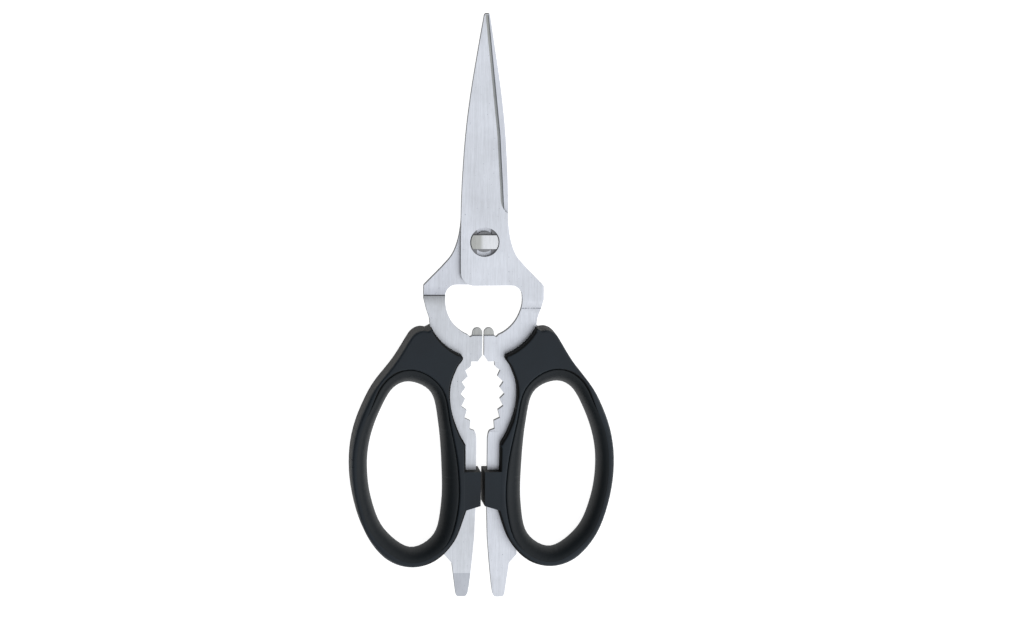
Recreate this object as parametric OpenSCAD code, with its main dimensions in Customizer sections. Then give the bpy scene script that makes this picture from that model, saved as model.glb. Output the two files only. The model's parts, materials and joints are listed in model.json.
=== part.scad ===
// Take-apart poultry and kitchen shears, lying flat with the blades closed.
// Both halves are drawn in the closed position around the pivot, on the right-hand side,
// and each is then swung half of the opening angle. Turning a half over about the Y axis
// gives the other one, so one set of outlines serves both.

/* [Overall] */
// Distance from the pivot to the tips of the blades
tip_reach = 81.2; // [80:0.1:84]
// Distance from the pivot to the ends of the driver tips
tail_reach = 128.6; // [128:0.1:130]
// Angle between the halves at rest, 0 is fully closed
open_angle = 0.86; // [0:0.01:20]

/* [Steel] */
// Thickness of the steel of each half
steel_t = 2.5; // [2:0.1:3]
// Gap between the inner faces of the two blades
blade_gap = 0.04; // [0.02:0.01:0.1]
// Gap from the centre line to the meeting edges of the cap lifter when closed
meeting_gap = 0.06; // [0.03:0.01:0.2]
// Distance below the pivot at which the front half steps back to the middle plane
front_joggle = 24; // [22:0.5:28]
// Distance below the pivot at which the rear half steps up to the middle plane
rear_joggle = 19.6; // [18:0.2:26]
// Length of the slope of each step
joggle_run = 1.4; // [0.8:0.1:3]
// Width of the ground bevel along the cutting edge
bevel_w = 1.35; // [0.8:0.05:2]
// Height of the unground land at the cutting edge
edge_land = 0.12; // [0.05:0.01:0.4]

/* [Bottle opener and jaw] */
// Radius of the lower part of the bottle opener
opener_r = 13.6; // [12:0.1:14]
// Radius of the round ends of the cap-lifting tabs
tab_r = 1.76; // [1.5:0.02:2]
// Thickness ground away from each face of the cap-lifting tabs
tab_grind = 0.45; // [0:0.05:0.8]
// Number of teeth on each side of the jaw
tooth_count = 5; // [3:1:6]
// Angle from one tooth to the next around the jaw
tooth_pitch = 10.3; // [9:0.1:11]
// Radius of the circle through the roots of the teeth
root_r = 24.5; // [24:0.1:24.8]
// Depth of the teeth
tooth_depth = 1.6; // [0.6:0.1:1.8]
// Width of the relief ground beside the teeth
relief_w = 2.2; // [1:0.1:3]
// Depth of that relief at the tips of the teeth
relief_h = 0.3; // [0.1:0.05:0.6]

/* [Pivot] */
// Diameter of the bearing part of the stud
stud_d = 7.5; // [6:0.1:8]
// Radial running clearance between the stud and the front blade
stud_clear = 0.05; // [0.02:0.01:0.09]
// Diameter of the recess around the head of the stud
recess_d = 10.5; // [10:0.1:12]
// Depth of the recess in the front blade
recess_h = 1.3; // [1:0.1:1.5]
// Length of the T-shaped head of the stud
head_l = 9.8; // [9:0.1:9.9]
// Width of the T-shaped head of the stud
head_w = 5.0; // [4:0.1:5.6]
// Diameter of the riveted neck in the rear blade
neck_d = 5.5; // [4:0.1:6]
// Height of the riveted dome behind the rear blade
dome_h = 0.4; // [0.2:0.05:0.8]

/* [Handles] */
// Thickness of the plastic handles
handle_t = 12.7; // [11:0.1:15]
// Size of the rounded edges of the handles
edge_round = 0.9; // [0.4:0.1:1]
// Thickness of the stop blocks between the handles
block_t = 12.6; // [10:0.1:12.6]
// Gap from the centre line to each stop block when closed
block_gap = 0.02; // [0.02:0.01:0.2]
// Height of the crown of the finger rings above the middle plane
ring_h = 6.1; // [5:0.1:6.3]

/* [Hidden] */
$fn = 64;
// Place of the pivot: the origin is below the middle of the box around the shears
pivot_y = (tail_reach - tip_reach) / 2;
pivot_z = handle_t / 2;
cut = 1;                                   // how far a cut runs past the surface
opener_y = -21;                            // height of the middle of the bottle opener
opener_top = -15.6;                        // straight top edge of the bottle opener
opener_corner = 4.1;                       // corner radius of the bottle opener
jaw = [-17, -54.9];                        // middle of the circles of the jaw's teeth
first_tooth = 16.2;                        // angle of the tip of the first tooth on those circles
tooth_rake = 4.3;                          // angle from the root above a tooth to its tip
limb_r = 20.9;                             // where the handle begins around the opener
driver_start = -119.9;                     // where the grind of the driver tips begins
driver_grind = 1.1;                        // thickness ground away at the driver tips
anchor = [18, -39.5];                      // hole that locks the steel into the plastic
anchor_d = 5;
slot_clear = 0.1;                          // room around the head in the slot of the blade
recess_floor = steel_t - recess_h;

// Catmull-Rom curve between the points b and c
function bend(a, b, c, d, t) =
    0.5 * (2 * b + (c - a) * t + (2 * a - 5 * b + 4 * c - d) * t * t + (3 * b - a - 3 * c + d) * t * t * t);
// Closed smooth curve through the points p
function smooth_loop(p, steps) = let (n = len(p))
    [for (i = [0 : n - 1], k = [0 : steps - 1])
        bend(p[(i + n - 1) % n], p[i], p[(i + 1) % n], p[(i + 2) % n], k / steps)];
// Open smooth curve through the points p
function smooth_run(p, steps) = let (n = len(p), q = concat([2 * p[0] - p[1]], p, [2 * p[n - 1] - p[n - 2]]))
    concat([for (i = [1 : n - 1], k = [0 : steps - 1]) bend(q[i - 1], q[i], q[i + 1], q[i + 2], k / steps)],
           [p[n - 1]]);
// Points on an arc
function arc(c, r, from, to, steps) =
    [for (k = [0 : steps]) let (a = from + (to - from) * k / steps) c + r * [cos(a), sin(a)]];
// Unit vector to the left of the way a closed curve runs at its point i
function left_of(p, i) = let (n = len(p), d = p[(i + 1) % n] - p[(i + n - 1) % n], l = norm([d.x, d.y]))
    [-d.y, d.x] / l;
// Clockwise closed curve moved inwards by d
function inset(p, d) = [for (i = [0 : len(p) - 1]) p[i] - d * left_of(p, i)];

// Spine of the blade, from the tip down past the pivot
spine = smooth_run([[-0.55, tip_reach - 0.7], [-2.7, 68], [-5.1, 53], [-6.9, 38], [-8.1, 20], [-8.5, 4],
                    [-8.55, -10]], 4);
// Cutting edge, from the heel up to the tip
edge = [[7.17, 11], [5.65, 38], [1.35, tip_reach - 1.1]];
// Cap-lifting tab beside the centre line, from its outer foot to the meeting edge
tab = concat([[4.5, -34.3], [meeting_gap + 2 * tab_r + 0.15, -34]],
             arc([meeting_gap + tab_r, -32.75], tab_r, 0, 180, 12));
// Way into the jaw below the meeting edge
jaw_mouth = [[meeting_gap, -41], [1.5, -43.1], [3.85, -43.1], [3.95, -44.7], [4.5, -45.3]];
function on_jaw(r, a) = jaw + r * [cos(a), sin(a)];
teeth = [for (k = [0 : tooth_count]) let (a = first_tooth - k * tooth_pitch)
    each [on_jaw(root_r, a + tooth_rake), if (k < tooth_count) on_jaw(root_r - tooth_depth, a)]];
// Tang and driver tip, down the inner edge and up to the shoulder
tang = [[2.2, -68.2], [1.75, -69.2], [1.5, -71], [1.35, -97], [1.6, -107], [2.2, -115], [3.1, -124.5],
        [3.5, -127.3], [4, -tail_reach + 0.25], [4.6, -tail_reach], [7, -tail_reach], [7.5, -tail_reach + 0.35],
        [7.8, -127.4], [9.4, -116.3], [12.2, -113.2]];
// Edge of the steel inside the moulded handle
buried = smooth_run([[12, -111.2], [8.8, -104.3], [7.3, -97], [7.3, -84], [9.2, -72], [11.6, -60],
                     [12.5, -53.5], [15, -48.9], [19.5, -45.5], [24, -41.5], [23.6, -36], [19.8, -33],
                     [18.8, -30.6], [19.1, -27.6]], 3);
// Lobe beside the pivot, up to the heel of the cutting edge
lobe = concat([[20.2, -24.5], [21.2, -20.7]], arc([20.5, -16.2], 0.7, 0, 45, 3),
              smooth_run([[14.9, -9.4], [11.3, -5], [9.3, 0.3], [8.4, 6], [8.25, 10.3]], 4));
plate_outline = concat(spine, arc([-3.65, -10.7], 4.9, 188, 270, 8),
                       arc([13.55 - opener_corner, opener_top - opener_corner], opener_corner, 90, 8, 6),
                       arc([0, opener_y], opener_r, 6, -67, 18), tab, jaw_mouth, teeth, tang, buried, lobe, edge,
                       [[1.15, tip_reach - 0.12], [0.95, tip_reach], [-0.35, tip_reach]]);

// Outside of the handle, from the top of the outer edge round to the stop block
handle_outer = smooth_run([[20.1, -31.5], [22, -31.3], [23.9, -31.9], [25.6, -33.3], [27, -35.5], [31.5, -42.9],
                           [40.2, -55], [45.7, -70], [46.2, -86], [41.9, -102.6], [34.3, -113.4],
                           [25.2, -117], [16.1, -114.9], [9.1, -107.5],
                           [5, -96.4]], 6);
handle_jaw = concat([[5.6, -81], [5.75, -73]], smooth_run([[6.1, -71.9], [8.4, -67.7], [11.2, -59.5],
                    [11.5, -51.5], [9.4, -45], [7.75, -42.5]], 4));
handle_cusp = arc([8.35, -41.3], 1.1, 215, 110, 4);
handle_outline = concat(handle_outer, handle_jaw, handle_cusp, arc([0, opener_y], limb_r, -66, -27.5, 8));
stop_block = [[block_gap, -82.3], [6.2, -82.3], [6.2, -96.7], [5, -96.2], [block_gap, -94.6]];

// Finger hole and the width of the soft ring around it, as x, y and width
finger_hole = smooth_loop([[25.2, -50.6, 5.2], [31.5, -52.8, 4.6], [36.2, -61, 4], [39.5, -71, 4.2],
                           [40.4, -81, 4.2], [38.8, -92.5, 4.3], [34.1, -103.6, 4.6], [24.6, -110.5, 4.8],
                           [16.1, -105.8, 5], [13.6, -94, 5.8], [13.8, -80, 5.4], [15.2, -65.5, 3.9],
                           [17.9, -54.6, 4.1]], 6);
ring_seat = [for (i = [0 : len(finger_hole) - 1]) let (p = finger_hole[i])
    [p.x, p.y] + p.z * left_of(finger_hole, i)];
// Half of the section of the ring: share of its width, and height above the middle plane
ring_crown = concat([for (a = [0 : 15 : 75]) [1 - cos(a), ring_h * sin(a)]], [[0.93, ring_h - 0.15], [1, ring_h - 0.8]]);
ring_section = concat([for (i = [len(ring_crown) - 1 : -1 : 1]) [ring_crown[i].x, -ring_crown[i].y]], ring_crown);

// Steel that both halves share: plate, step, bevel, tabs and driver tip
module plate(joggle) {
    near = joggle - joggle_run / 2;
    far = joggle + joggle_run / 2;
    low = blade_gap / 2;
    mid = steel_t / 2;
    difference() {
        intersection() {
            translate([0, 0, -steel_t]) linear_extrude(3 * steel_t) polygon(plate_outline);
            rotate([90, 0, 90]) translate([0, 0, -60]) linear_extrude(120)
                polygon([[100, low], [-near, low], [-far, -mid], [-150, -mid], [-150, mid], [-far, mid],
                         [-near, steel_t], [100, steel_t]]);
        }
        bevel();
        for (side = [0, 1]) mirror([0, 0, side])
            translate([-cut, opener_y - 12.7, mid - tab_grind]) cube([5.5, 4, steel_t]);
        translate([0, driver_start, -mid]) rotate([-atan(driver_grind / (tail_reach + driver_start)), 0, 0])
            translate([0, -15, -steel_t]) cube([15, 15, steel_t]);
        translate([anchor.x, anchor.y, -steel_t]) cylinder(h = 2 * steel_t, d = anchor_d);
        tooth_relief(mid);
    }
}

// Material ground off along the cutting edge, with a curved end at the heel
module bevel() {
    slope = (steel_t - edge_land) / bevel_w;
    intersection() {
        for (i = [0 : len(edge) - 2]) let (d = edge[i + 1] - edge[i])
            translate([edge[i].x, edge[i].y, 0]) rotate([90, 0, atan2(d.y, d.x) - 90])
                translate([0, 0, -norm(d) - cut]) linear_extrude(norm(d) + 2 * cut)
                    polygon([[cut, edge_land - cut * slope], [3, edge_land - cut * slope], [3, steel_t + cut],
                             [-bevel_w - cut / slope, steel_t + cut]]);
        translate([0, 0, -3 * cut]) linear_extrude(steel_t + 6 * cut)
            polygon([[-3, 90], [12, 90], [12, 10.2], [7.6, 10.9], [6.65, 11.8], [6, 13.2], [5.3, 15.6], [-3, 17]]);
    }
}

// Cone that thins the face at height z towards the teeth
module tooth_relief(z) {
    tip_r = root_r - tooth_depth;
    intersection() {
        translate([jaw.x, jaw.y, z - relief_h])
            cylinder(h = relief_h + cut, r1 = tip_r, r2 = tip_r + (root_r + relief_w - tip_r) * (1 + cut / relief_h));
        translate([0, -68.4, -cut]) cube([20, 24.8, 3 * steel_t]);
    }
}

module front_blade() {
    color([0.78, 0.78, 0.8]) front_half() difference() {
        plate(front_joggle);
        translate([0, 0, recess_floor]) cylinder(h = steel_t, d = recess_d);
        translate([0, 0, -cut]) cylinder(h = steel_t, d = stud_d + 2 * stud_clear);
        intersection() {
            translate([0, 0, -cut]) cylinder(h = steel_t, d = recess_d);
            cube([head_w + 2 * slot_clear, recess_d, 2 * steel_t], center = true);
        }
    }
}

module rear_blade() {
    color([0.74, 0.74, 0.76]) rear_half() difference() {
        rotate([0, 180, 0]) plate(rear_joggle);
        translate([0, 0, -steel_t - cut]) cylinder(h = steel_t + 2 * cut, d = neck_d);
        translate([0, 0, -steel_t]) cylinder(h = 0.8, d1 = stud_d, d2 = neck_d);
    }
}

// Bearing stud: T-shaped head, bearing, riveted neck and dome
module pivot_stud() {
    head_z = recess_floor + 0.05;
    color([0.62, 0.62, 0.64]) rear_half() {
        translate([0, 0, head_z]) intersection() {
            cylinder(h = steel_t - head_z - 0.1, d = head_l);
            cube([head_l, head_w, 4 * steel_t], center = true);
        }
        translate([0, 0, -blade_gap / 2]) cylinder(h = head_z + blade_gap / 2, d = stud_d);
        translate([0, 0, -steel_t]) cylinder(h = steel_t - blade_gap / 2, d = neck_d);
        translate([0, 0, -steel_t]) cylinder(h = 0.8, d1 = stud_d, d2 = neck_d);
        translate([0, 0, -steel_t - dome_h]) cylinder(h = dome_h, d1 = stud_d - 2.5, d2 = stud_d);
    }
}

// Handle with rounded edges and its stop block, moulded around the steel
module handle(joggle) {
    difference() {
        union() {
            rounded_slab(handle_outline, handle_t, edge_round);
            translate([0, 0, -block_t / 2]) linear_extrude(block_t) polygon(stop_block);
        }
        translate([0, 0, -handle_t]) linear_extrude(2 * handle_t) polygon(ring_seat);
        plate(joggle);
    }
}

// Soft ring that lines the finger hole
module finger_ring() {
    n = len(finger_hole);
    m = len(ring_section);
    points = [for (s = ring_section, i = [0 : n - 1]) let (p = finger_hole[i],
        q = [p.x, p.y] + s.x * p.z * left_of(finger_hole, i)) [q.x, q.y, s.y]];
    faces = [for (j = [0 : m - 1], i = [0 : n - 1], h = [0, 1]) let (a = j * n + i, b = j * n + (i + 1) % n,
        c = ((j + 1) % m) * n + i, d = ((j + 1) % m) * n + (i + 1) % n) h == 0 ? [a, d, b] : [a, c, d]];
    polyhedron(points, faces);
}

// Slab of thickness t over a clockwise outline, whose edge of radius r is built up in fine steps
module rounded_slab(outline, t, r) {
    for (rise = [0, 0.15, 0.4, 1])
        translate([0, 0, rise * r - t / 2]) linear_extrude(t - 2 * rise * r)
            polygon(inset(outline, r * (1 - sqrt(1 - (1 - rise) * (1 - rise)))));
}

module front_handle() color([0.06, 0.07, 0.09]) front_half() handle(front_joggle);
module rear_handle() color([0.06, 0.07, 0.09]) rear_half() rotate([0, 180, 0]) handle(rear_joggle);
module front_finger_ring() color([0.12, 0.14, 0.18]) front_half() finger_ring();
module rear_finger_ring() color([0.12, 0.14, 0.18]) rear_half() rotate([0, 180, 0]) finger_ring();

// Places of the two halves around the pivot
module front_half() translate([0, pivot_y, pivot_z]) rotate(open_angle / 2) children();
module rear_half() translate([0, pivot_y, pivot_z]) rotate(-open_angle / 2) children();

rear_blade();
front_blade();
pivot_stud();
rear_handle();
rear_finger_ring();
front_handle();
front_finger_ring();
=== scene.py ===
"""Looks of the take-apart poultry shears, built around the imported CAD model."""

import json
import math

import bmesh
import bpy
import numpy as np
from mathutils import Matrix, Vector, geometry


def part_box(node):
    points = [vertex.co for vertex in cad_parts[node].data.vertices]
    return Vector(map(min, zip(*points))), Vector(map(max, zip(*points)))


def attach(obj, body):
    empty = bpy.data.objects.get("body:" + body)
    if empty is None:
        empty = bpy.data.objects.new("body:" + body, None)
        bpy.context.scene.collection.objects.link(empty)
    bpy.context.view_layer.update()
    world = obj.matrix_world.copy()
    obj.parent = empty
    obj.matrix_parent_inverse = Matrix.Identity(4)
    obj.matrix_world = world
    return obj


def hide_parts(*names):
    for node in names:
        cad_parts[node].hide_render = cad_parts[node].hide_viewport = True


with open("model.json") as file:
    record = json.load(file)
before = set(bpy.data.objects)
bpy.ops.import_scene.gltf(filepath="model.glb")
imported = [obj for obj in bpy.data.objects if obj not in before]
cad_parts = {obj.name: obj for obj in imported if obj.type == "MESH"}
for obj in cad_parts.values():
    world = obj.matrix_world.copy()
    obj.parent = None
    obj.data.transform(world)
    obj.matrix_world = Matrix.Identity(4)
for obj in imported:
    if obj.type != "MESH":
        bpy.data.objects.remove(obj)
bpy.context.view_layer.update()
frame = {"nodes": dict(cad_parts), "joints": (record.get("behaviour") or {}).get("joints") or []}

# ---------------------------------------------------------------- sizes taken from the frame
MM = 0.001
JOINT = frame["joints"][0]
PIVOT = Vector(JOINT["pos_m"])
HALF_OPEN = math.radians(-JOINT["range_deg"][0]) / 2
HANDLE_H = (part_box("front_handle")[1].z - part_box("front_handle")[0].z) / 2
BLOCK_H = HANDLE_H - 0.05 * MM
RING_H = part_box("front_finger_ring")[1].z - PIVOT.z


def swung(angle):
    """From the closed position around the origin to the pivot, turned by an angle."""
    return Matrix.Translation(PIVOT) @ Matrix.Rotation(angle, 4, "Z")


# Both halves are built as the front half in the closed position. The rear half is the front half turned over.
PLACES = {"front": swung(HALF_OPEN), "rear": swung(-HALF_OPEN) @ Matrix.Rotation(math.pi, 4, "Y")}

# ---------------------------------------------------------------- outlines cut from the CAD nodes
# Points of a cut that fall in the same or in neighbouring cells of this size are one point
CELL = 1e-7


def slice_node(name, height):
    """Closed outlines of a front-half node, cut at a height above the middle plane, longest first."""
    data = frame["nodes"][name].data
    data.calc_loop_triangles()
    level = PIVOT.z + height
    links = {}
    spots = {}

    def spot(p):
        """The cell of a point, or the cell beside it that already holds the same point."""
        cell = (round(p.x / CELL), round(p.y / CELL))
        for near in ((cell[0] + i, cell[1] + j) for i in (0, -1, 1) for j in (0, -1, 1)):
            if near in spots:
                return near
        spots[cell] = p
        return cell

    for tri in data.loop_triangles:
        corners = [data.vertices[i].co for i in tri.vertices]
        hits = []
        for ends in zip(corners, corners[1:] + corners[:1]):
            a, b = sorted(ends, key=lambda p: p.z)
            if a.z <= level < b.z:
                hits.append(spot(a.lerp(b, (level - a.z) / (b.z - a.z))))
        if len(hits) == 2 and hits[0] != hits[1]:
            links.setdefault(hits[0], set()).add(hits[1])
            links.setdefault(hits[1], set()).add(hits[0])
    back = PLACES["front"].inverted()
    loops = []
    while links:
        start = next(iter(links))
        chain = [start]
        here = start
        while links.get(here):
            there = links[here].pop()
            links[there].discard(here)
            if not links[here]:
                del links[here]
            here = there
            if here == start:
                break
            chain.append(here)
        links.pop(here, None)
        if len(chain) > 8:
            loops.append(np.array([(back @ spots[k])[:2] for k in chain]))
    return sorted(loops, key=lambda p: -perimeter(p))


def perimeter(p):
    return float(np.linalg.norm(np.roll(p, -1, 0) - p, axis=1).sum())


def smooth_loop(points, count):
    """The closed outline on a smooth curve through its points, evenly spaced and running clockwise."""
    x, y = points[:, 0], points[:, 1]
    if np.sum(x * np.roll(y, -1) - np.roll(x, -1) * y) > 0:
        points = points[::-1]
    a, b, c, d = (np.roll(points, k, 0) for k in (1, 0, -1, -2))
    t = np.linspace(0, 1, 8, endpoint=False)[None, :, None]
    a, b, c, d = (q[:, None, :] for q in (a, b, c, d))
    fine = 0.5 * (2 * b + (c - a) * t + (2 * a - 5 * b + 4 * c - d) * t**2 + (3 * b - a - 3 * c + d) * t**3)
    fine = fine.reshape(-1, 2)
    ends = np.vstack([fine, fine[:1]])
    walked = np.r_[0, np.cumsum(np.linalg.norm(np.diff(ends, axis=0), axis=1))]
    at = np.linspace(0, walked[-1], count, endpoint=False)
    return np.c_[np.interp(at, walked, ends[:, 0]), np.interp(at, walked, ends[:, 1])]


def outward(p, reach=2):
    """Unit normals that point out of a clockwise outline."""
    d = np.roll(p, -reach, 0) - np.roll(p, reach, 0)
    n = np.c_[-d[:, 1], d[:, 0]]
    return n / np.linalg.norm(n, axis=1)[:, None]


def ease(x):
    """0 to 1 with soft ends."""
    x = np.clip(x, 0, 1)
    return x * x * (3 - 2 * x)


# Points on the outline of the handle, and on those of the finger hole and the seat of the ring
OUTLINE_POINTS = 960
HOLE_POINTS = 480
# The handle begins at this distance from the middle line; only the stop block is nearer
STRIP_X = 4.9 * MM

rim, seat = slice_node("front_handle", HANDLE_H * 0.8)[:2]
hole = smooth_loop(slice_node("front_finger_ring", 0.05 * MM)[1], HOLE_POINTS)
HOLE_CENTRE = hole.mean(0)
seat = smooth_loop(seat, HOLE_POINTS)
block_left = rim[:, 0].min()
block_ends = rim[rim[:, 0] < block_left + 0.05 * MM][:, 1]

# The outline of the handle without its stop block, closed by a straight bridge
wide = rim[rim[:, 0] > STRIP_X]
cut_at = int(np.argmax(np.linalg.norm(np.roll(wide, -1, 0) - wide, axis=1)))
wide = np.roll(wide, -cut_at - 1, 0)
bridge = np.linspace(wide[-1], wide[0], 12)[1:-1]
outline = smooth_loop(np.vstack([wide, bridge]), OUTLINE_POINTS)

# Outer limb of the handle, seen from the middle of the finger hole, in degrees: middle, half span, soft end
LIMB_MIDDLE = -26
LIMB_HALF = 96
LIMB_SOFT = 16


def outer_limb(p):
    """1 on the outer side of the finger hole, where the ring and the handle run into each other, else 0."""
    angle = np.degrees(np.arctan2(p[:, 1] - HOLE_CENTRE[1], p[:, 0] - HOLE_CENTRE[0]))
    away = np.abs((angle - LIMB_MIDDLE + 180) % 360 - 180)
    return ease((LIMB_HALF - away) / LIMB_SOFT)


def rolling_mean(values, reach):
    """Mean of each value of a closed row and its neighbours up to reach places away."""
    around = np.r_[values[-reach:], values, values[:reach]]
    return np.convolve(around, np.ones(2 * reach + 1) / (2 * reach + 1), "valid")


def band_width(p):
    """Distance from each point of the finger hole to the seat of the ring, along the normal."""
    n = outward(p)
    width = []
    for q, m in zip(p, n):
        d = seat - q
        ahead = d @ m
        across = np.abs(d @ np.array([-m[1], m[0]]))
        across[ahead < 0] = 1
        near = np.argsort(across)[:2]
        width.append(ahead[near].mean())
    return rolling_mean(np.array(width), 4)


# ---------------------------------------------------------------- mesh helpers


def rings_to_mesh(bm, rings, closed=False):
    """Quads between rings of equal length. Each ring is an (n, 3) array."""
    rows = [[bm.verts.new(p) for p in ring] for ring in rings]
    pairs = list(zip(rows[:-1], rows[1:]))
    if closed:
        pairs.append((rows[-1], rows[0]))
    for low, high in pairs:
        n = len(low)
        for i in range(n):
            k = (i + 1) % n
            bm.faces.new((low[i], low[k], high[k], high[i]))
    return rows


def at_height(p, z):
    return np.c_[p, np.broadcast_to(z, len(p))]


def fill_between(bm, outer, inner):
    """Flat face between two rings of vertices."""
    loops = [[v.co for v in outer], [v.co for v in inner]]
    verts = list(outer) + list(inner)
    for tri in geometry.tessellate_polygon(loops):
        bm.faces.new([verts[i] for i in tri])


def placed(name, bm, half):
    """An object from a mesh in the closed position, put in its half's place."""
    bmesh.ops.recalc_face_normals(bm, faces=bm.faces)
    data = bpy.data.meshes.new(name)
    bm.to_mesh(data)
    bm.free()
    data.transform(PLACES[half])
    piece = bpy.data.objects.new(name, data)
    bpy.context.scene.collection.objects.link(piece)
    return piece


def bind(piece, half, node):
    """Lets a piece ride on its half in the place of a CAD node."""
    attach(piece, half + "_half")
    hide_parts(node)


def shade(piece, angle):
    """Smooth shading with creases above an angle in degrees, and flat faces kept flat."""
    for face in piece.data.polygons:
        face.use_smooth = True
    bm = bmesh.new()
    bm.from_mesh(piece.data)
    for e in bm.edges:
        if len(e.link_faces) == 2:
            e.smooth = e.calc_face_angle(0) < math.radians(angle)
    bm.to_mesh(piece.data)
    bm.free()
    normals = piece.modifiers.new("face_weights", "WEIGHTED_NORMAL")
    normals.keep_sharp = True
    normals.weight = 80


def unite(piece, other):
    """Unites a piece with another object, which is then removed."""
    m = piece.modifiers.new("unite", "BOOLEAN")
    m.operation = "UNION"
    m.object = other
    m.solver = "MANIFOLD"
    bpy.context.view_layer.update()
    result = bpy.data.meshes.new_from_object(piece.evaluated_get(bpy.context.evaluated_depsgraph_get()))
    piece.modifiers.remove(m)
    old = piece.data
    piece.data = result
    bpy.data.meshes.remove(old)
    bpy.data.objects.remove(other)


# ---------------------------------------------------------------- handles and finger rings
# Radius of the handle's edge fillet, on its inner side and on its outer limb, and its extra drop on that limb
FILLET = 0.95 * MM
LIMB_FILLET = 1.9 * MM
LIMB_DROP = 0.3
# Least flat land between the fillet and the ring's seat
MIN_LAND = 0.7 * MM
# Rounding of the seat's edge, which makes one side of the groove round the ring, and the gap to the ring
GROOVE = 0.55 * MM
SEAT_EASE = 0.02 * MM
SEAT_GAP = 0.01 * MM
# The ring: its side of the groove, end angle in degrees, sag of its crown, step down on the outer limb
GROOVE_DEPTH = 1.1 * MM
RING_EDGE = 0.45 * MM
CROWN_TURN = 84
CROWN_SAG = 0.08
RING_LOW = 0.03 * MM
# Stop block: how far it reaches into the handle, the slope of its lower side in there, and its edge rounding
BLOCK_ROOT = 2.2 * MM
BLOCK_SLOPE = (0.2 * MM, 1.6 * MM)
BLOCK_EDGE = 0.07 * MM


def quarter_turn(steps):
    return np.linspace(0, math.pi / 2, steps)


def handle_mesh():
    """Flat-sided handle: filleted outside, seat for the ring inside, more rounded on its outer limb."""
    bm = bmesh.new()
    limb = outer_limb(outline)
    gap = rolling_mean(np.array([np.linalg.norm(seat - p, axis=1).min() for p in outline]), 8)
    r = np.minimum(FILLET + (LIMB_FILLET - FILLET) * limb, gap - MIN_LAND)
    n_out = outward(outline)
    drop = r * (1 + LIMB_DROP * limb)
    n_seat = outward(seat)
    g = SEAT_EASE + GROOVE * (1 - outer_limb(seat))
    outer_rings = []
    seat_rings = []
    for side in (-1, 1):
        for a in quarter_turn(9)[::side]:
            p = outline - n_out * (r * (1 - math.cos(a)))[:, None]
            outer_rings.append(at_height(p, side * (HANDLE_H - drop * (1 - math.sin(a)))))
        for a in quarter_turn(6)[::-side]:
            p = seat + n_seat * (SEAT_GAP + g * (1 - math.sin(a)))[:, None]
            seat_rings.append(at_height(p, side * (HANDLE_H - g * (1 - math.cos(a)))))
    rows = rings_to_mesh(bm, outer_rings)
    seat_rows = rings_to_mesh(bm, seat_rings)
    fill_between(bm, rows[0], seat_rows[0])
    fill_between(bm, rows[-1], seat_rows[-1])
    return bm


def ring_mesh():
    """Soft ring that lines the finger hole, crowned next to the handle and rounded into the hole."""
    bm = bmesh.new()
    limb = outer_limb(hole)
    groove = 1 - limb
    width = band_width(hole)
    crown = RING_H + (HANDLE_H - RING_LOW - RING_H) * limb
    edge = crown * math.sin(math.radians(CROWN_TURN))
    reach = (width - RING_EDGE * groove) / (1 - math.cos(math.radians(CROWN_TURN)))
    profile = []
    for a in np.radians(np.linspace(0, CROWN_TURN, 18)):
        share = 1 - math.cos(a) * (1 - CROWN_SAG * math.sin(2 * a))
        profile.append((share * reach, crown * math.sin(a)))
    for a in quarter_turn(5)[1:]:
        out = width - RING_EDGE * groove * (1 - math.sin(a))
        profile.append((out, edge - GROOVE_DEPTH * groove * (1 - math.cos(a))))
    n_out = outward(hole)
    top = [at_height(hole + n_out * out[:, None], z) for out, z in profile]
    bottom = [ring * (1, 1, -1) for ring in top[:0:-1]]
    rings_to_mesh(bm, top + bottom, closed=True)
    return bm


def block_mesh():
    """Stop block between the handles, with finely rounded edges."""
    top, low = block_ends.max(), block_ends.min()
    deep = STRIP_X + BLOCK_ROOT
    corners = [(block_left, top), (deep, top), (deep, low - BLOCK_ROOT),
               (STRIP_X + BLOCK_SLOPE[0], low - BLOCK_SLOPE[1]), (block_left, low)]
    bm = bmesh.new()
    faces = []
    for z in (-BLOCK_H, BLOCK_H):
        faces.append(bm.faces.new([bm.verts.new((x, y, z)) for x, y in corners]))
    low_ring, high_ring = list(faces[0].verts), list(faces[1].verts)
    n = len(corners)
    for i in range(n):
        k = (i + 1) % n
        bm.faces.new((low_ring[i], low_ring[k], high_ring[k], high_ring[i]))
    bmesh.ops.recalc_face_normals(bm, faces=bm.faces)
    bmesh.ops.bevel(bm, geom=bm.edges[:], offset=BLOCK_EDGE, segments=2, profile=0.5, affect="EDGES")
    return bm


handles = {}
rings = {}
for half in PLACES:
    handles[half] = placed(half + "_grip", handle_mesh(), half)
    bind(handles[half], half, half + "_handle")
    unite(handles[half], placed("block", block_mesh(), half))
    shade(handles[half], 50)
    rings[half] = placed(half + "_soft_ring", ring_mesh(), half)
    bind(rings[half], half, half + "_finger_ring")
    shade(rings[half], 50)

# ---------------------------------------------------------------- steel
WELD = 1e-7
# Broken edges of the blades and of the stud
BREAK = 0.14 * MM
STUD_BREAK = 0.2 * MM
STEEL_T = 2.5 * MM
# From the middle plane to the inner face of a blade
BLADE_GAP = 0.02 * MM
# Step of each blade to the middle plane, in mm from the pivot: start and end in the CAD, then of its bend
STEPS = {"front": (-23.3, -24.7, -21.0, -26.6), "rear": (-18.9, -20.3, -19.3, -23.6)}
# Share of the rise that the crisp bend of the rear blade takes at once
CRISP = 0.22


def ramp(y, start, end):
    return np.clip((start - y) / (start - end), 0, 1)


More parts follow.
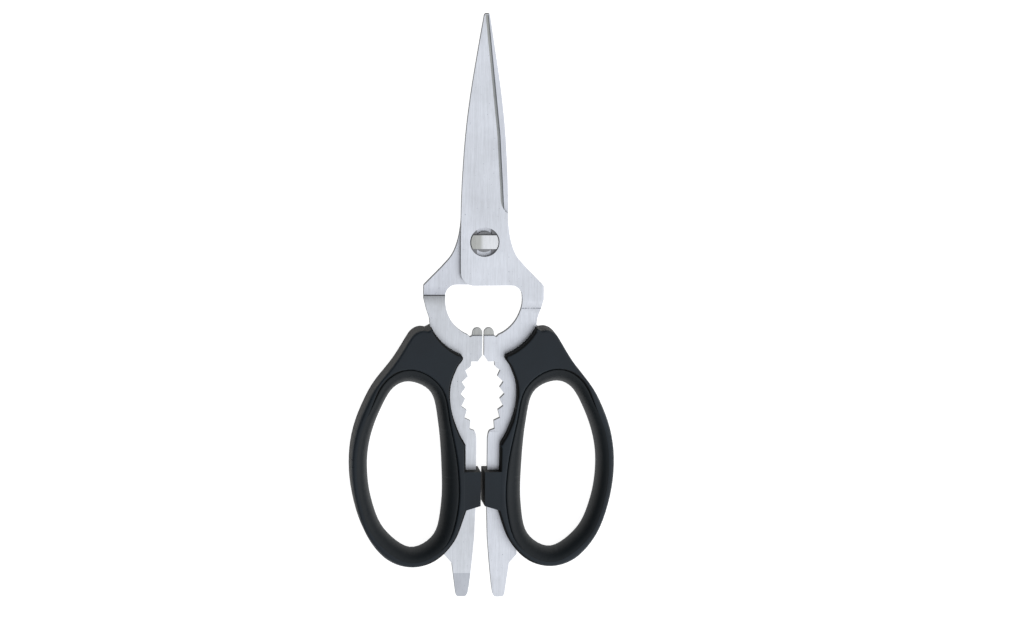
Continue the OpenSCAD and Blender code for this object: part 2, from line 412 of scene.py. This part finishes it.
def bend_step(bm, half):
    """Turns the slope of the step into a bend: soft on the front blade, crisp on top on the rear one."""
    cad_start, cad_end, start, end = (v * MM for v in STEPS[half])
    cuts = start + (end - start) * np.linspace(0, 1, 22) ** 1.3
    for y in cuts:
        bmesh.ops.bisect_plane(bm, geom=bm.verts[:] + bm.edges[:] + bm.faces[:], dist=1e-8,
                               plane_co=(0, y, 0), plane_no=(0, 1, 0))
    rise = STEEL_T / 2 + BLADE_GAP
    for v in bm.verts:
        y = v.co.y
        if y > max(cad_start, start) + 1e-7 or y < min(cad_end, end) - 1e-7:
            continue
        before = ramp(y, cad_start, cad_end)
        t = ramp(y, start, end)
        if half == "front":
            after = ease(t)
        else:
            after = CRISP * min(t * 40, 1) + (1 - CRISP) * (1 - (1 - t) ** 2.2)
        v.co.z += rise * (before - after)


def steel_piece(name, node, half, edge):
    """The CAD node's own shape, with its facets joined and its sharp edges broken."""
    bm = bmesh.new()
    bm.from_mesh(frame["nodes"][node].data)
    bmesh.ops.transform(bm, matrix=PLACES[half].inverted(), verts=bm.verts)
    bmesh.ops.remove_doubles(bm, verts=bm.verts, dist=WELD)
    bmesh.ops.dissolve_limit(bm, angle_limit=math.radians(0.4), verts=bm.verts, edges=bm.edges)
    sharp = [e for e in bm.edges if len(e.link_faces) == 2 and e.calc_face_angle(0) > math.radians(50)]
    bmesh.ops.bevel(bm, geom=sharp, offset=edge, offset_type="OFFSET", segments=2, profile=0.6,
                    affect="EDGES", clamp_overlap=True)
    if node.endswith("blade"):
        bend_step(bm, half)
    piece = placed(name, bm, half)
    bind(piece, half, node)
    shade(piece, 40)
    return piece


blades = {half: steel_piece(half + "_steel", half + "_blade", half, BREAK)
          for half in PLACES}
stud = steel_piece("stud", "pivot_stud", "rear", STUD_BREAK)

# ---------------------------------------------------------------- materials
# Places on a half in the closed position, from the pivot
RECESS_R = 5.4 * MM
TAB_BASE = -33.7 * MM
TAB_TOP = -30.8 * MM
TAB_SIDE = 4.2 * MM
DRIVER_START = -119.9 * MM
REAR_STEP_LINE = 19.35 * MM
FRONT_STEP_LINE = 23.9 * MM


# Places of the colour sockets on a mix node
MIX_COLOR_INPUTS = (0, 6, 7)
MIX_COLOR_OUTPUT = 2


class Look:
    """A node material with short helpers."""

    def __init__(self, name, color, metallic, roughness):
        self.material = bpy.data.materials.new(name)
        self.material.use_nodes = True
        self.nodes = self.material.node_tree.nodes
        self.links = self.material.node_tree.links
        self.shader = self.nodes["Principled BSDF"]
        self.shader.inputs["Base Color"].default_value = (*color, 1)
        self.shader.inputs["Metallic"].default_value = metallic
        self.shader.inputs["Roughness"].default_value = roughness
        self.place = self.nodes.new("ShaderNodeTexCoord").outputs["Object"]

    def stretched(self, scale):
        mapping = self.nodes.new("ShaderNodeMapping")
        mapping.inputs["Scale"].default_value = scale
        self.links.new(self.place, mapping.inputs["Vector"])
        return mapping.outputs["Vector"]

    def noise(self, scale, detail=4, rough=0.6, vector=None):
        n = self.nodes.new("ShaderNodeTexNoise")
        n.inputs["Scale"].default_value = scale
        n.inputs["Detail"].default_value = detail
        n.inputs["Roughness"].default_value = rough
        self.links.new(vector or self.place, n.inputs["Vector"])
        return n.outputs["Fac"]

    def remap(self, value, low, high, to_low, to_high):
        m = self.nodes.new("ShaderNodeMapRange")
        for socket, number in zip(("From Min", "From Max", "To Min", "To Max"), (low, high, to_low, to_high)):
            m.inputs[socket].default_value = number
        self.links.new(value, m.inputs["Value"])
        return m.outputs["Result"]

    def feed(self, socket, value):
        """Sets a socket to a number or a colour, or links another socket to it."""
        if isinstance(value, tuple):
            socket.default_value = (*value, 1)
        elif isinstance(value, (int, float)):
            socket.default_value = value
        else:
            self.links.new(value, socket)

    def math(self, operation, *values):
        m = self.nodes.new("ShaderNodeMath")
        m.operation = operation
        for socket, value in zip(m.inputs, values):
            self.feed(socket, value)
        return m.outputs["Value"]

    def mix(self, factor, a, b, kind="MIX"):
        """Colour a where the factor is 0, b where it is 1."""
        m = self.nodes.new("ShaderNodeMix")
        m.data_type = "RGBA"
        m.blend_type = kind
        for index, value in zip(MIX_COLOR_INPUTS, (factor, a, b)):
            self.feed(m.inputs[index], value)
        return m.outputs[MIX_COLOR_OUTPUT]

    def times(self, a, b):
        return self.mix(1.0, a, b, "MULTIPLY")

    def along(self, axis):
        """One coordinate of the shaded point, in metres, while the piece is at rest."""
        split = self.nodes.new("ShaderNodeSeparateXYZ")
        self.links.new(self.place, split.inputs["Vector"])
        return split.outputs[axis]

    def color(self, socket):
        self.links.new(socket, self.shader.inputs["Base Color"])

    def rough(self, socket):
        self.links.new(socket, self.shader.inputs["Roughness"])

    def bump(self, height, distance, strength=1.0):
        b = self.nodes.new("ShaderNodeBump")
        b.inputs["Strength"].default_value = strength
        b.inputs["Distance"].default_value = distance
        self.links.new(height, b.inputs["Height"])
        self.links.new(b.outputs["Normal"], self.shader.inputs["Normal"])


def brushed_steel(name, light, dark, rough, painted_light=None):
    """Steel brushed along the blades, with fine pits. The optional last argument is a factor on the colour
    that paints light and shade on it.
    """
    look = Look(name, light, 1.0, rough)
    lines = look.noise(1900, 5, 0.7, look.stretched((1, 0.035, 1)))
    fine = look.noise(5200, 3, 0.6, look.stretched((1, 0.08, 1)))
    cloud = look.noise(70, 4, 0.6)
    pits = look.remap(look.noise(1500, 2, 0.5), 0.715, 0.77, 0, 1)
    grain = look.math("ADD", look.math("MULTIPLY", lines, 0.45), look.math("MULTIPLY", fine, 0.2))
    streaks = look.math("ADD", grain, look.math("MULTIPLY", cloud, 0.35))
    base = look.mix(look.remap(streaks, 0.38, 0.60, 0, 1), dark, light)
    base = look.times(base, look.mix(pits, (1, 1, 1), (0.5, 0.51, 0.55)))
    if painted_light:
        base = look.times(base, painted_light(look))
    look.color(base)
    look.rough(look.remap(lines, 0.3, 0.7, rough - 0.05, rough + 0.07))
    ridges = look.math("ADD", lines, look.math("MULTIPLY", fine, 0.6))
    look.bump(look.math("SUBTRACT", ridges, look.math("MULTIPLY", pits, 2.0)), 0.005 * MM)
    return look.material


def bevel_edge_shade(look):
    """Painted shade on the ground bevel, darkest close to the cutting edge."""
    height = look.remap(look.along("Z"), PIVOT.z + 0.2 * MM, PIVOT.z + 1.3 * MM, 0, 1)
    return look.mix(height, (0.16, 0.17, 0.17), (1, 1, 1))


def black_plastic(name, color, rough, grain, sheen):
    """Matt moulded plastic with a fine grain."""
    look = Look(name, color, 0.0, rough)
    fine = look.noise(grain, 3, 0.7)
    cloud = look.noise(60, 3, 0.55)
    lighter = tuple(c * 1.35 for c in color)
    look.color(look.mix(look.remap(cloud, 0.35, 0.68, 0, 1), color, lighter))
    look.rough(look.remap(fine, 0.3, 0.7, rough - 0.06, rough + 0.06))
    look.bump(fine, 0.03 * MM, 0.55)
    look.shader.inputs["Sheen Weight"].default_value = sheen
    look.shader.inputs["Sheen Roughness"].default_value = 0.5
    look.shader.inputs["Specular IOR Level"].default_value = 0.3
    return look.material


def crease(look, below, width):
    """1 on a thin line across the steel at a distance below the pivot, else 0. It places painted shade lines.
    """
    away = look.math("ABSOLUTE", look.math("SUBTRACT", look.along("Y"), PIVOT.y - below))
    return look.remap(away, width / 3, width, 1, 0)


def tab_foot_shade(look, base):
    """Painted shade along the foot of the ground cap-lifting tabs, on a base tone."""
    middle = look.remap(look.math("ABSOLUTE", look.along("X")), 4.0 * MM, 4.3 * MM, 1, 0)
    foot = look.math("MULTIPLY", crease(look, -TAB_BASE, 0.3 * MM), middle)
    return look.times(base, look.mix(foot, (1, 1, 1), (0.35, 0.35, 0.36)))


def rear_blade_shade(look):
    """Painted shade on the rear blade: its bent face and the steel below it a little greyer, a soft painted
    shadow above the bend, and a dark painted shade line along the bend.
    """
    y = look.along("Y")
    bent = look.remap(y, PIVOT.y - 25.5 * MM, PIVOT.y - 19.6 * MM, 0, 1)
    below = look.mix(bent, (0.93, 0.93, 0.92), (0.84, 0.835, 0.81))
    above = look.remap(y, PIVOT.y - 19.5 * MM, PIVOT.y - 19.1 * MM, 0, 1)
    shadow = look.remap(y, PIVOT.y - 19.1 * MM, PIVOT.y - 16 * MM, 0, 1)
    base = look.mix(above, below, look.mix(shadow, (0.8, 0.8, 0.82), (0.97, 0.97, 0.98)))
    # Dark painted shade line along the bend
    step = look.mix(crease(look, REAR_STEP_LINE, 0.24 * MM), (1, 1, 1), (0.3, 0.3, 0.3))
    return tab_foot_shade(look, look.times(base, step))


def front_blade_shade(look):
    """A faint broken line of painted shade where the front blade is bent."""
    broken = look.remap(look.noise(1400, 2, 0.5), 0.40, 0.52, 0.2, 1)
    line = look.math("MULTIPLY", crease(look, FRONT_STEP_LINE, 0.26 * MM), broken)
    return tab_foot_shade(look, look.mix(line, (1, 1, 1), (0.32, 0.33, 0.36)))


def stud_tone(look):
    """The head of the stud shows a greyer reflection on its left."""
    return look.mix(look.remap(look.along("X"), PIVOT.x - 1.7 * MM, PIVOT.x - 0.1 * MM, 0, 1),
                     (0.68, 0.68, 0.65), (1.12, 1.12, 1.15))


SATIN = ((0.72, 0.735, 0.78), (0.56, 0.57, 0.60), 0.36)
# Satin steel faces, with painted shade lines at the bends and at the feet of the tabs
FACES = {"front": brushed_steel("satin_steel_front_painted_shade", *SATIN, front_blade_shade),
         "rear": brushed_steel("satin_steel_rear_painted_shade", *SATIN, rear_blade_shade)}
WALL = brushed_steel("sheared_steel_wall", (0.10, 0.10, 0.095), (0.06, 0.06, 0.058), 0.55)
# Darker steel on the broken edges: painted shade that outlines the edges
EDGE_SHADE = brushed_steel("broken_edge_painted_shade", (0.34, 0.34, 0.34), (0.22, 0.22, 0.22), 0.45)
# Ground bevel steel, with painted shade that is darkest close to the cutting edge
BEVEL = brushed_steel("ground_bevel_painted_shade", (0.30, 0.31, 0.30), (0.22, 0.225, 0.22), 0.36, bevel_edge_shade)
GROUND = brushed_steel("ground_tab", (0.50, 0.50, 0.48), (0.34, 0.34, 0.33), 0.4)
DRIVER = brushed_steel("ground_driver", (0.50, 0.515, 0.55), (0.42, 0.43, 0.46), 0.4)
# Dark steel for the recess round the stud: painted shade in the recess
RECESS_SHADE = brushed_steel("recess_painted_shade", (0.26, 0.26, 0.27), (0.16, 0.16, 0.165), 0.4)
STUD = brushed_steel("stud_steel", (0.68, 0.685, 0.68), (0.55, 0.55, 0.54), 0.3, stud_tone)
PLASTIC = black_plastic("black_moulded_plastic", (0.0050, 0.0095, 0.0145), 0.5, 2600, 0.05)
# Olive-grey, slightly lighter copy of the plastic for the walls: painted light from the floor's bounce, on a
# rougher surface
PLASTIC_WALL = black_plastic("black_plastic_wall_painted_bounce", (0.012, 0.012, 0.011), 0.75, 2600, 0.0)
# Near-black copy of the plastic for faces turned towards the middle line: painted shade
PLASTIC_SHADE = black_plastic("black_plastic_painted_shade", (0.0022, 0.0024, 0.0025), 0.8, 2600, 0.0)
SOFT = black_plastic("black_soft_grip", (0.0030, 0.0055, 0.0075), 0.55, 3400, 0.04)


def steel_skin(half, corners, normal):
    """The steel skin of a face, from its corners and its direction in the closed position."""
    centre = sum(corners, Vector()) / len(corners)
    reach = max(math.hypot(c.x, c.y) for c in corners)
    # Faces down in the recess round the stud get painted shade
    if reach < RECESS_R and centre.z < STEEL_T - 0.1 * MM:
        return RECESS_SHADE
    if abs(normal.z) < 0.3:
        return WALL
    if normal.x > 0.75 and 0.3 < normal.z < 0.6:
        return BEVEL
    if TAB_BASE < centre.y < TAB_TOP and centre.x < TAB_SIDE and abs(normal.z) > 0.9:
        return GROUND
    if centre.y < DRIVER_START and 0.9 < abs(normal.z) < 0.9999:
        return DRIVER
    # Broken edges outside the bend get the painted-shade steel
    if abs(normal.z) < 0.8 and not STEPS[half][3] * MM < centre.y < STEPS[half][2] * MM - 0.1 * MM:
        return EDGE_SHADE
    return FACES[half]


for half in PLACES:
    back = PLACES[half].inverted()
    turn = back.to_3x3()
    blade = blades[half]
    skins = (FACES[half], WALL, EDGE_SHADE, BEVEL, GROUND, DRIVER, RECESS_SHADE)
    for m in skins:
        blade.data.materials.append(m)
    spots = [back @ v.co for v in blade.data.vertices]
    for face in blade.data.polygons:
        skin = steel_skin(half, [spots[i] for i in face.vertices], turn @ face.normal)
        face.material_index = skins.index(skin)
    grip = handles[half].data
    grip.materials.clear()
    for m in (PLASTIC, PLASTIC_WALL, PLASTIC_SHADE):
        grip.materials.append(m)
    for face in grip.polygons:
        # Faces turned towards the middle line get the painted-shade copy of the plastic
        inner = (turn @ face.normal).x < -0.2 and abs(face.normal.z) < 0.93
        # Other walls get the wall copy, with its painted floor light
        face.material_index = 2 if inner else int(abs(face.normal.z) < 0.3)
    rings[half].data.materials.append(SOFT)
stud.data.materials.append(STUD)
stud.data.materials.append(RECESS_SHADE)
# The lower faces of the stud, down in the recess, get painted shade
for face in stud.data.polygons:
    face.material_index = int(face.center.z < PIVOT.z + STEEL_T - 0.6 * MM)

# ---------------------------------------------------------------- stage, light and camera
FLOOR_GLOW = 0.93
SKY_DIM = 0.06
SKY_BRIGHT = 1.1


def floor():
    """Pale floor that glows enough to show no shadows."""
    bm = bmesh.new()
    bmesh.ops.create_grid(bm, x_segments=2, y_segments=2, size=3)
    data = bpy.data.meshes.new("floor")
    bm.to_mesh(data)
    bm.free()
    plane = bpy.data.objects.new("floor", data)
    bpy.context.scene.collection.objects.link(plane)
    look = Look("pale_floor", (0.35, 0.35, 0.35), 0.0, 0.9)
    look.shader.inputs["Emission Color"].default_value = (1, 1, 1, 1)
    look.shader.inputs["Emission Strength"].default_value = FLOOR_GLOW
    data.materials.append(look.material)


def area_light(name, direction, distance, size, power, color):
    """A square lamp that shines on the origin."""
    light = bpy.data.lights.new(name, "AREA")
    light.size = size
    light.energy = power
    light.color = color
    lamp = bpy.data.objects.new(name, light)
    spot = Vector(direction).normalized() * distance
    lamp.location = spot
    lamp.rotation_euler = (-spot).to_track_quat("-Z", "Y").to_euler()
    bpy.context.scene.collection.objects.link(lamp)


def studio_light():
    """Wide soft sky, brighter on the right and the near side than on the left and the far side."""
    world = bpy.data.worlds.new("studio")
    bpy.context.scene.world = world
    world.use_nodes = True
    nodes, links = world.node_tree.nodes, world.node_tree.links
    side = nodes.new("ShaderNodeVectorMath")
    side.operation = "DOT_PRODUCT"
    side.inputs[1].default_value = Vector((0.75, -0.45, 0.5)).normalized()
    level = nodes.new("ShaderNodeMapRange")
    level.interpolation_type = "SMOOTHSTEP"
    spread = {"From Min": -0.45, "From Max": 0.7, "To Min": SKY_DIM, "To Max": SKY_BRIGHT}
    for socket, number in spread.items():
        level.inputs[socket].default_value = number
    links.new(nodes.new("ShaderNodeTexCoord").outputs["Generated"], side.inputs[0])
    links.new(side.outputs["Value"], level.inputs["Value"])
    links.new(level.outputs["Result"], nodes["Background"].inputs["Strength"])
    nodes["Background"].inputs["Color"].default_value = (0.94, 0.965, 1.0, 1)


floor()
studio_light()
area_light("key", (0.9, -0.5, 1.0), 1.2, 0.4, 2.2, (0.97, 0.985, 1.0))
bpy.context.scene.view_settings.view_transform = "Standard"

# The camera looks down from a little towards the tips and the left, far away, slightly turned
CAMERA_LEFT = 0.116
CAMERA_UP = 0.156
CAMERA_ROLL = math.radians(0.75)
CAMERA_DISTANCE = 2.0
PICTURE_WIDTH = 0.3625
AIM = Vector((9.14 * MM, PIVOT.y - 24.74 * MM, PIVOT.z + 2.5 * MM))

camera_data = bpy.data.cameras.new("camera")
camera = bpy.data.objects.new("camera", camera_data)
bpy.context.scene.collection.objects.link(camera)
toward = Vector((-CAMERA_LEFT, CAMERA_UP, 1)).normalized()
up_hint = Vector((-math.sin(CAMERA_ROLL), math.cos(CAMERA_ROLL), 0))
right = up_hint.cross(toward).normalized()
up = toward.cross(right)
camera.matrix_world = Matrix((right, up, toward)).transposed().to_4x4()
camera.location = AIM + toward * CAMERA_DISTANCE
camera_data.sensor_width = 36
camera_data.lens = camera_data.sensor_width * CAMERA_DISTANCE / PICTURE_WIDTH
camera_data.clip_end = 10
bpy.context.scene.camera = camera
